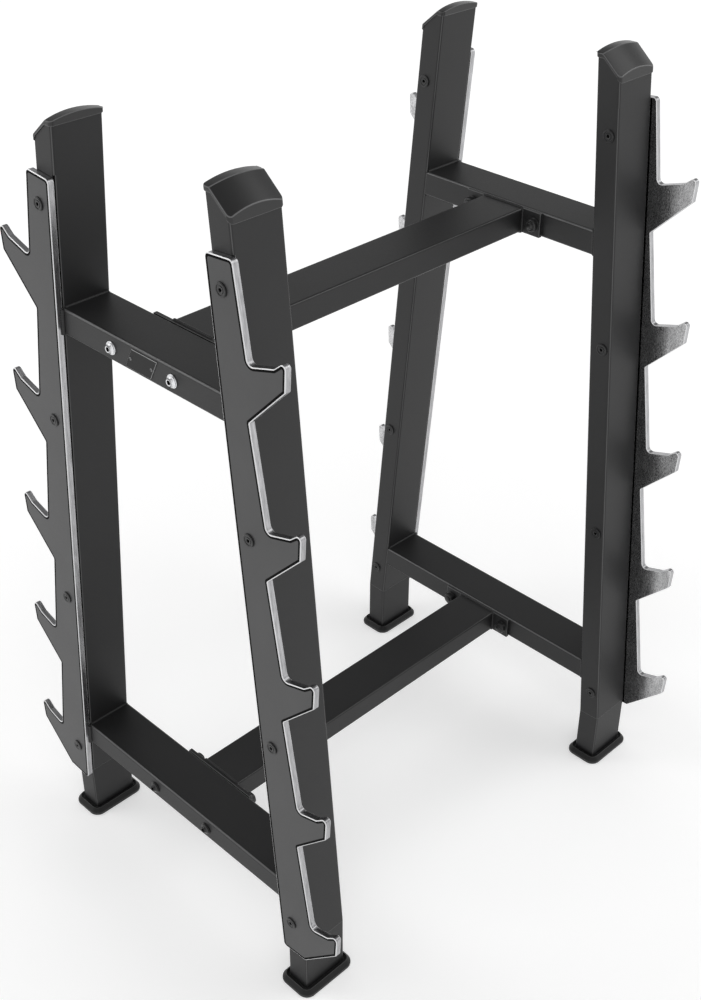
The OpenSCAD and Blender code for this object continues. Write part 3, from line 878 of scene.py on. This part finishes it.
class FastenerRow:
    """A geometry tree that puts a fastener on each point of a straight row."""

    NAME = "Row of fasteners"

    def __init__(self) -> None:
        """Builds the tree."""
        tree, given, result = new_group(
            self.NAME, "GeometryNodeTree",
            {"Geometry": "Geometry", "Count": "Int", "First": "Vector", "Step": "Vector", "Turn": "Float",
             "Seed": "Int", "Finish": "Material"},
            {"Geometry": "Geometry"})
        line = tree.add("GeometryNodeMeshLine", {
            "Count": given["Count"], "Start Location": given["First"], "Offset": given["Step"]},
            mode="OFFSET")
        roll = tree.add("FunctionNodeRandomValue", {2: 0.0, 3: 2 * math.pi, "Seed": given["Seed"]},
                        data_type="FLOAT").outputs[1]
        turns = tree.add("ShaderNodeCombineXYZ", {"X": roll, "Z": given["Turn"]})
        turn = tree.add("FunctionNodeEulerToRotation", {0: turns})
        placed = tree.add("GeometryNodeInstanceOnPoints", {
            "Points": line, "Instance": given["Geometry"], "Rotation": turn})
        solid = tree.add("GeometryNodeRealizeInstances", {"Geometry": placed})
        number = tree.add("GeometryNodeInputMaterialIndex")
        outside = tree.add("FunctionNodeCompare", {2: number, 3: SOCKET_NUMBER}, data_type="INT",
                           operation="LESS_THAN")
        tree.feed(result["Geometry"], tree.add("GeometryNodeSetMaterial", {
            "Geometry": solid, "Selection": outside, "Material": given["Finish"]}))
        self.tree = tree.tree

    def build(self, node: str, mesh: Mesh, count: int, first: Vector, step: Vector, turn: float,
              finish: Finish) -> None:
        """Builds one row.

        Args:
            node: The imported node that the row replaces.
            mesh: The fastener, drawn along X at the origin.
            count: The number of fasteners.
            first: The place of the first one.
            step: The way from one to the next.
            turn: The turn about Z, in radians.
            finish: The finish.
        """
        row = new_object(f"dressed_{node}", mesh.copy())
        if any(face.material_index == SOCKET_NUMBER for face in mesh.polygons):
            for coat in (finish, SOCKET_SHADE):
                row.data.materials.append(coat.material())
        run_tree(row, self.tree, {"Count": count, "First": first, "Step": step, "Turn": turn,
                                  "Seed": SEED, "Finish": finish.material()})
        weigh_normals(row)
        hand_over(row, finish.slot, node)


def run_tree(target: Object, tree: bpy.types.NodeTree, values: dict[str, object]) -> None:
    """Runs a geometry tree on an object and keeps the result as its plain mesh.

    Args:
        target: The object.
        tree: The geometry tree.
        values: The tree's inputs, by their names.
    """
    modifier = target.modifiers.new("nodes", "NODES")
    modifier.node_group = tree
    for item in tree.interface.items_tree:
        if item.in_out == "INPUT" and item.name in values:
            modifier[item.identifier] = values[item.name]
    apply_modifiers(target)


@dataclass
class PlateScrews:
    """The screws that hold the saddle plates, and their sleeve nuts on the other side of the tube."""

    row: FastenerRow
    count: int = 4
    pitch: float = 0.42
    low: float = 0.066
    inset: float = 0.02
    head_radius: float = 0.012
    head_high: float = 0.003
    foot_soft: float = 0.0003
    rim_soft: float = 0.001
    rim_bulge: float = -0.2
    groove: tuple[float, float, float, float] = (0.0088, 0.0083, 0.0066, 0.0061)
    groove_deep: float = 0.0009
    lip_radius: float = 0.0042
    lip_deep: float = 0.0006
    shank_radius: float = 0.005
    shank_soft: float = 0.0008
    socket: float = 0.003
    socket_deep: float = 0.006
    point_deep: float = 0.001
    tip: float = 0.0005
    sleeve_radius: float = 0.007
    sleeve_long: float = 0.045
    bore_radius: float = 0.0051
    wall: float = 0.003

    def head_rings(self) -> list[Ring]:
        """Draws a flat head with a rounded rim, a shallow groove and a hexagonal socket.

        Returns:
            Its rings.
        """
        top, rim, bottom = self.head_high, self.head_radius, self.head_high - self.socket_deep
        low = top - self.groove_deep
        return [
            Ring(0.0, rim - self.foot_soft), Ring(self.foot_soft, rim),
            *arc_rings((top - self.rim_soft, rim), (top, rim - self.rim_soft), self.rim_bulge, steps=3),
            *(Ring(along, radius) for along, radius in zip((top, low, low, top), self.groove)),
            Ring(top, self.lip_radius), Ring(top - self.lip_deep, self.socket, True),
            Ring(bottom + self.point_deep, self.socket, True), Ring(bottom, self.tip)]

    def build(self) -> None:
        """Builds all screws and sleeve nuts."""
        shank = SIZES.tube_wide + SIZES.plate_thick - self.wall - self.head_high
        radius, soft = self.shank_radius, self.shank_soft
        screw = turned_mesh("plate_screw", [
            Ring(-shank, radius - soft), Ring(-shank + soft, radius), Ring(0.0, radius), *self.head_rings()])
        sleeve = turned_mesh("sleeve_nut", [
            Ring(-self.wall, self.tip), Ring(-self.wall, self.bore_radius),
            Ring(-self.sleeve_long, self.bore_radius), Ring(-self.sleeve_long, self.sleeve_radius),
            Ring(0.0, self.sleeve_radius), *self.head_rings()])
        for side, end in product(Side, End):
            here, there = (SIZES.on_upright(side, end, 0.0, 0.0, along) for along in (0.0, self.pitch))
            for kind, mesh, x, turn in (
                    ("saddle_screws", screw, SIZES.outer_x + SIZES.plate_thick, side.turn),
                    ("sleeve_nuts", sleeve, SIZES.inner_x, side.turn + math.pi)):
                first = SIZES.on_upright(side, end, x, -self.inset, self.low)
                self.row.build(f"{label(side, end)}_{kind}", mesh, self.count, first, there - here, turn,
                               BLACK_OXIDE)


@dataclass
class FrameBolts:
    """The bolts through the cross members and flanges, with their washers, nuts and nut caps.

    The steps of washer_rim, cap_brim and cap_shoulder go along the axis from a flat end and
    in from the rim. Those of cap_ditch go out from the dome.
    """

    row: FastenerRow
    shank_radius: float = 0.006
    shank_soft: float = 0.001
    head_radius: float = 0.0105
    head_high: float = 0.0065
    foot_in: float = 0.0003
    foot_high: float = 0.0004
    crown_start: float = 0.0011
    crown_radius: float = 0.0058
    lip_radius: float = 0.0054
    lip_deep: float = 0.0005
    socket: float = 0.004
    socket_low: float = 0.0028
    point_low: float = 0.0021
    tip: float = 0.0005
    washer_radius: float = 0.012
    washer_thick: float = 0.0025
    washer_play: float = 0.0003
    washer_soft: float = 0.0004
    washer_rim: tuple[Pair, ...] = ((0.0006, 0.0), (0.0001, 0.0005), (0.0, 0.001))
    nut_flats: float = 0.009
    nut_high: float = 0.01
    nut_play: float = 0.0001
    bolt_excess: float = 0.001
    cap_radius: float = 0.0135
    cap_body: float = 0.0127
    cap_bore: float = 0.0105
    cap_wall: float = 0.0015
    cap_brim: tuple[Pair, ...] = ((0.0, 0.0006), (0.0005, 0.0), (0.0022, 0.0), (0.0028, 0.0008))
    cap_shoulder: tuple[Pair, Pair, Pair] = ((0.003, 0.0008), (0.0026, 0.0009), (0.0, 0.0036))
    cap_ditch: tuple[Pair, ...] = ((0.0, 0.0012), (0.0004, 0.0003), (0.0, -0.0002))
    dome_radius: float = 0.008
    dome_high: float = 0.004
    dome_foot: Pair = (0.0012, 0.0006)
    dome_tip: float = 0.0003

    def build(self) -> None:
        """Builds the bolts of all four flanges."""
        bolt, washer, nut, cap = self.bolt_mesh(), self.washer_mesh(), self.nut_mesh(), self.cap_mesh()
        way = Vector((0.0, SIZES.bolt_spacing, 0.0))
        for side, level in product(Side, Level):
            finish = ZINC if level is Level.UPPER else BLACK_OXIDE
            for kind, mesh, x, turn, coat in (
                    ("bolts", bolt, SIZES.outer_x + self.washer_thick, side.turn, finish),
                    ("washers", washer, SIZES.outer_x, side.turn, finish),
                    ("nuts", nut, SIZES.flange_x, side.turn + math.pi, ZINC),
                    ("nut_caps", cap, SIZES.flange_x, side.turn + math.pi, CAP_PLASTIC)):
                first = Vector((side.value * x, -SIZES.bolt_spacing / 2, level.value))
                self.row.build(f"{label(level, side)}_{kind}", mesh, PAIR_COUNT, first, way, turn, coat)

    def bolt_mesh(self) -> Mesh:
        """Draws a button head bolt from its end to the bottom of its socket.

        Returns:
            The mesh.
        """
        long = self.washer_thick + SIZES.tube_wide + SIZES.flange_thick + self.nut_high + self.bolt_excess
        top, rim, shank = self.head_high, self.head_radius, self.shank_radius
        return turned_mesh("frame_bolt", [
            Ring(-long, shank - self.shank_soft), Ring(-long + self.shank_soft, shank), Ring(0.0, shank),
            Ring(0.0, rim - self.foot_in), Ring(self.foot_high, rim),
            *arc_rings((self.crown_start, rim), (top, self.crown_radius), BUTTON_BULGE, steps=8),
            Ring(top, self.lip_radius), Ring(top - self.lip_deep, self.socket, True),
            Ring(self.socket_low, self.socket, True), Ring(self.point_low, self.tip)])

    def washer_mesh(self) -> Mesh:
        """Draws a washer."""
        thick, rim, hole = self.washer_thick, self.washer_radius, self.shank_radius + self.washer_play
        return turned_mesh("washer", [
            Ring(0.0, hole), Ring(0.0, rim - self.washer_soft), Ring(self.washer_soft, rim),
            *(Ring(thick - down, rim - inward) for down, inward in self.washer_rim),
            Ring(thick, hole)], bored=True)

    def nut_mesh(self) -> Mesh:
        """Draws a hexagonal nut.

        Returns:
            The mesh.
        """
        hole, flats = self.shank_radius + self.nut_play, self.nut_flats
        mesh = turned_mesh("nut", [Ring(0.0, hole), Ring(0.0, flats), Ring(self.nut_high, flats),
                                   Ring(self.nut_high, hole)], bored=True)
        for point in mesh.vertices:
            if math.hypot(point.co.y, point.co.z) > (hole + flats) / 2:
                angle = math.atan2(point.co.z, point.co.y) % (math.pi / 3)
                grow = 1 / math.cos(angle - math.pi / 6)
                point.co.y *= grow
                point.co.z *= grow
        return mesh

    def cap_mesh(self) -> Mesh:
        """Draws the plastic cap over a nut: a round body with a soft shoulder and a small dome.

        Returns:
            The mesh.
        """
        body, rim, dome = self.cap_body, self.cap_radius, self.dome_radius
        top = body + self.dome_high
        wall_end, start, end = ((body - down, rim - inward) for down, inward in self.cap_shoulder)
        foot_high, foot_in = self.dome_foot
        return turned_mesh("nut_cap", [
            Ring(0.0, self.cap_bore), *(Ring(up, rim - inward) for up, inward in self.cap_brim),
            Ring(*wall_end), *quarter_rings(start, end, steps=5),
            *(Ring(body - down, dome + out) for down, out in self.cap_ditch),
            *quarter_rings((body + foot_high, dome - foot_in), (top, self.dome_tip), steps=6),
            Ring(top - self.cap_wall, self.dome_tip), Ring(body - self.cap_wall, self.cap_bore)], bored=True)


@dataclass
class BadgePlate:
    """The bare badge plate and its two small screws."""

    row: FastenerRow
    edge: EdgeRound = EdgeRound(0.0009, 1)
    screw_spacing: float = 0.054
    thick: float = 0.0015
    head_radius: float = 0.003
    head_high: float = 0.0015
    crown_start: float = 0.0003
    crown_radius: float = 0.0014
    shank_radius: float = 0.0015
    shank_long: float = 0.006
    socket: float = 0.001
    socket_deep: float = 0.001
    lip_deep: float = 0.0001
    tip: float = 0.0002

    def build(self) -> None:
        """Builds the plate and its screws."""
        # Painted highlight on the badge's broken edges and painted shade on its side walls.
        DressedNode("badge_plate", self.edge, BADGE_COAT, BADGE_HIGHLIGHT_RIM, painted_shade_walls=True).build()
        top, rim, bottom = self.head_high, self.head_radius, self.head_high - self.socket_deep
        screw = turned_mesh("badge_screw", [
            Ring(-self.shank_long - self.thick, self.shank_radius), Ring(0.0, self.shank_radius),
            Ring(0.0, rim),
            *arc_rings((self.crown_start, rim), (top, self.crown_radius), BUTTON_BULGE, steps=4),
            Ring(top - self.lip_deep, self.socket, True), Ring(bottom, self.socket, True),
            Ring(bottom - self.lip_deep, self.tip)], steps=24)
        first = Vector((-SIZES.outer_x - self.thick, -self.screw_spacing / 2, Level.UPPER.value))
        way = Vector((0.0, self.screw_spacing, 0.0))
        self.row.build("badge_screws", screw, PAIR_COUNT, first, way, math.pi, BADGE_STEEL)


@dataclass(frozen=True)
class Seam:
    """A weld bead along a path: its points, its radius and whether the path closes."""

    points: tuple[Vector, ...]
    radius: float
    closed: bool = False


class WeldBead:
    """A geometry tree that lays a rippled bead along a path."""

    NAME = "Weld bead"
    LUMP_SCALE = 160.0
    RIPPLE_PITCH = 0.0045
    RIPPLE = 0.06
    RIPPLE_STEP = 0.25
    UNEVENNESS = 0.25
    SIDES = 14

    def __init__(self) -> None:
        """Builds the tree."""
        tree, given, result = new_group(
            self.NAME, "GeometryNodeTree",
            {"Geometry": "Geometry", "Radius": "Float", "Ripple pitch": "Float", "Ripple": "Float",
             "Unevenness": "Float", "Seed": "Int", "Finish": "Material"},
            {"Geometry": "Geometry"})
        path = tree.add("GeometryNodeMeshToCurve", {"Mesh": given["Geometry"]})
        spacing = tree.math("MULTIPLY", given["Ripple pitch"], self.RIPPLE_STEP)
        dense = tree.add("GeometryNodeResampleCurve", {"Curve": path, "Length": spacing}, mode="LENGTH")
        along = tree.add("GeometryNodeSplineParameter").outputs["Length"]
        turns = tree.math("DIVIDE", along, given["Ripple pitch"])
        wave = tree.math("MULTIPLY", tree.math("SINE", tree.math("MULTIPLY", turns, 2 * math.pi)),
                         given["Ripple"])
        rough = tree.add("ShaderNodeTexNoise", {
            "Vector": tree.add("GeometryNodeInputPosition"), "W": given["Seed"], "Scale": self.LUMP_SCALE,
            "Detail": 1.0}, noise_dimensions="4D")
        lump = tree.math("MULTIPLY", tree.math("SUBTRACT", rough, 0.5), given["Unevenness"])
        radius = tree.math("MULTIPLY", tree.math("ADD", tree.math("ADD", wave, lump), 1.0), given["Radius"])
        circle = tree.add("GeometryNodeCurvePrimitiveCircle", {"Resolution": self.SIDES, "Radius": 1.0})
        bead = tree.add("GeometryNodeCurveToMesh", {
            "Curve": dense, "Profile Curve": circle, "Scale": radius, "Fill Caps": True})
        smooth = tree.add("GeometryNodeSetShadeSmooth", {"Geometry": bead})
        solid = tree.add("GeometryNodeRealizeInstances", {"Geometry": smooth})
        tree.feed(result["Geometry"], tree.add("GeometryNodeSetMaterial", {
            "Geometry": solid, "Material": given["Finish"]}))
        self.tree = tree.tree

    def build(self, name: str, seams: list[Seam], finish: Finish) -> None:
        """Lays beads on seams and joins them to one piece.

        Args:
            name: The piece's name.
            seams: The seams.
            finish: The finish.
        """
        joined = bmesh.new()
        for seam in seams:
            count = len(seam.points)
            edges = [(i, (i + 1) % count) for i in range(count if seam.closed else count - 1)]
            path = bpy.data.meshes.new(name)
            path.from_pydata(seam.points, edges, [])
            bead = new_object(name, path)
            run_tree(bead, self.tree, {
                "Radius": seam.radius, "Ripple pitch": self.RIPPLE_PITCH, "Ripple": self.RIPPLE,
                "Unevenness": self.UNEVENNESS, "Seed": SEED, "Finish": finish.material()})
            joined.from_mesh(bead.data)
            bpy.data.objects.remove(bead)
        mesh = bpy.data.meshes.new(name)
        joined.to_mesh(mesh)
        joined.free()
        mesh.materials.append(finish.material())
        hand_over(new_object(name, mesh), finish.slot)


@dataclass
class Welds:
    """The weld beads where cross members meet uprights and where beams meet flanges."""

    bead: WeldBead
    fillet: float = 0.0034
    plate_fillet: float = 0.0052
    inner_fillet: float = 0.0024
    inner_inset: float = 0.003
    end_gap: float = 0.001
    beam_fillet: float = 0.0028
    corner_steps: int = 4

    def build(self) -> None:
        """Lays all beads."""
        for side, level in product(Side, Level):
            place = label(level, side)
            seams = [seam for end in End for seam in self.cross_member_seams(side, end, level)]
            self.bead.build(f"{place}_cross_member_welds", seams, POWDER_COAT)
            self.bead.build(f"{place}_beam_weld", [self.beam_seam(side, level)], POWDER_COAT)

    def cross_member_seams(self, side: Side, end: End, level: Level) -> list[Seam]:
        """Finds the seams round one end of a cross member.

        Args:
            side: The cross member's side.
            end: Its end.
            level: Its level.

        Returns:
            The seams below, above, on the outer side and on the inner side.
        """
        low, high = level.value - SIZES.half_high, level.value + SIZES.half_high
        near, far = SIZES.inner_x + SIZES.tube_corner, SIZES.outer_x - SIZES.tube_corner
        ends = [(((near, z), (far, z)), self.fillet) for z in (low, high)]
        inner = (SIZES.inner_x + self.inner_inset, self.inner_fillet)
        for x, radius in ((SIZES.outer_x, self.plate_fillet), inner):
            ends.append((((x, low + self.end_gap), (x, high - self.end_gap)), radius))
        return [Seam(tuple(Vector((side.value * x, end.value * SIZES.inner_face_y(z), z)) for x, z in pair),
                     radius) for pair, radius in ends]

    def beam_seam(self, side: Side, level: Level) -> Seam:
        """Finds the seam round a beam's end on its flange.

        Args:
            side: The end of the beam.
            level: The beam's level.

        Returns:
            The closed seam.
        """
        corner = SIZES.tube_corner
        half_y, half_z = SIZES.tube_wide / 2 - corner, SIZES.half_high - corner
        centres = ((half_y, half_z), (-half_y, half_z), (-half_y, -half_z), (half_y, -half_z))
        points = []
        for quarter, (y, z) in enumerate(centres):
            for i in range(self.corner_steps + 1):
                angle = math.pi / 2 * (quarter + i / self.corner_steps)
                points.append(Vector((side.value * SIZES.flange_x, y + corner * math.cos(angle),
                                      level.value + z + corner * math.sin(angle))))
        return Seam(tuple(points), self.beam_fillet, True)


@dataclass
class PhotoCamera:
    """The camera, at the photograph's viewpoint."""

    place: tuple[float, float, float] = (-1.6936, -1.6660, 2.3170)
    azimuth: float = -45.0047
    elevation: float = 33.6001
    roll: float = 0.2012
    lens: float = 51.215
    sensor: float = 36.0
    sight: float = 60.0

    def build(self) -> None:
        """Adds the camera to the scene and makes it the scene's camera."""
        az, el, roll = (math.radians(a) for a in (self.azimuth, self.elevation, self.roll))
        back = Vector((math.sin(az) * math.cos(el), -math.cos(az) * math.cos(el), math.sin(el)))
        right = Vector((math.cos(az), math.sin(az), 0.0))
        up = back.cross(right)
        turned_right = right * math.cos(roll) + up * math.sin(roll)
        turned_up = up * math.cos(roll) - right * math.sin(roll)
        data = bpy.data.cameras.new("photo_camera")
        data.lens = self.lens
        data.sensor_fit = "VERTICAL"
        data.sensor_height = self.sensor
        data.clip_end = self.sight
        camera = new_object("photo_camera", data)
        rotation = Matrix((turned_right, turned_up, back)).transposed().to_4x4()
        camera.matrix_world = Matrix.Translation(Vector(self.place)) @ rotation
        bpy.context.scene.camera = camera


@dataclass(frozen=True)
class Softbox:
    """A large area lamp that looks at the rack's middle."""

    name: str
    place: tuple[float, float, float]
    size: float
    watts: float

    def build(self, target: Vector) -> None:
        """Adds the lamp.

        Args:
            target: The point that the lamp looks at.
        """
        data = bpy.data.lights.new(self.name, "AREA")
        data.shape = "SQUARE"
        data.size = self.size
        data.energy = self.watts
        lamp = new_object(self.name, data)
        lamp.location = self.place
        lamp.visible_camera = False
        lamp.rotation_euler = (target - Vector(self.place)).to_track_quat("-Z", "Y").to_euler()


@dataclass
class Studio:
    """A white room with a grey ceiling: floor, sky and soft lamps."""

    floor_size: float = 40.0
    floor_colour: Colour = (0.8, 0.8, 0.8)
    near_glow: float = 0.33
    far_glow: float = 0.5
    glow_start: float = 1.0
    glow_end: float = 4.5
    sky_light: float = 0.66
    ceiling_level: float = 0.25
    backdrop_top: float = 0.25
    ceiling_start: float = 0.5
    lamp_target: tuple[float, float, float] = (0.0, 0.0, 0.8)
    lamps: tuple[Softbox, ...] = (
        Softbox("left_back_softbox", (-2.5, 2.7, 3.6), 1.8, 30.0),
        Softbox("right_front_softbox", (2.7, -2.2, 3.9), 2.8, 40.0),
        Softbox("key_softbox", (-2.6, -2.6, 4.4), 2.0, 20.0),
    )

    def build(self) -> None:
        """Builds the room."""
        self.build_sky()
        self.build_floor()
        for lamp in self.lamps:
            lamp.build(Vector(self.lamp_target))

    def build_sky(self) -> None:
        """Makes a white backdrop that turns into a grey ceiling, and an even light on the rack."""
        world = bpy.data.worlds.new("white_room")
        bpy.context.scene.world = world
        tree = NodeTree.cleared(world)
        seen = tree.seen()
        place = tree.add("ShaderNodeTexCoord").outputs["Generated"]
        height = tree.add("ShaderNodeSeparateXYZ", {0: place}).outputs["Z"]
        shade = tree.remap(height, self.backdrop_top, self.ceiling_start, 1.0, self.ceiling_level)
        level = tree.remap(seen, 0.0, 1.0, self.sky_light, shade)
        sky = tree.add("ShaderNodeBackground", {"Color": (1.0, 1.0, 1.0, 1.0), "Strength": level})
        tree.add("ShaderNodeOutputWorld", {"Surface": sky})

    def build_floor(self) -> None:
        """Lays a pale floor that looks white where no shadow falls."""
        half = self.floor_size / 2
        mesh = bpy.data.meshes.new("studio_floor")
        corners = [(x, y, 0.0) for x, y in ((-half, -half), (half, -half), (half, half), (-half, half))]
        mesh.from_pydata(corners, [], [(0, 1, 2, 3)])
        floor = new_object("studio_floor", mesh)
        material = bpy.data.materials.new("pale_floor")
        tree = NodeTree.cleared(material)
        matt = tree.add("ShaderNodeBsdfDiffuse", {"Color": (*self.floor_colour, 1.0)})
        seen = tree.seen()
        place = tree.add("ShaderNodeTexCoord").outputs["Object"]
        distance = tree.add("ShaderNodeVectorMath", {0: place}, operation="LENGTH").outputs["Value"]
        strength = tree.remap(distance, self.glow_start, self.glow_end, self.near_glow, self.far_glow)
        glow = tree.add("ShaderNodeEmission", {"Strength": tree.math("MULTIPLY", seen, strength)})
        both = tree.add("ShaderNodeAddShader", {0: matt, 1: glow})
        tree.add("ShaderNodeOutputMaterial", {"Surface": both})
        mesh.materials.append(material)


def main() -> None:
    """Builds the camera, the studio and every sub-assembly of the rack."""
    logging.basicConfig(level=logging.INFO, format="%(name)s: %(message)s")
    bpy.context.scene.view_settings.view_transform = "Standard"
    PhotoCamera().build()
    Studio().build()
    ShaderEffects().build()
    EndFrames().build()
    SaddlePlates().build()
    PlasticAndRubber().build()
    row = FastenerRow()
    PlateScrews(row).build()
    FrameBolts(row).build()
    BadgePlate(row).build()
    Welds(WeldBead()).build()


if __name__ == "__main__":
    main()
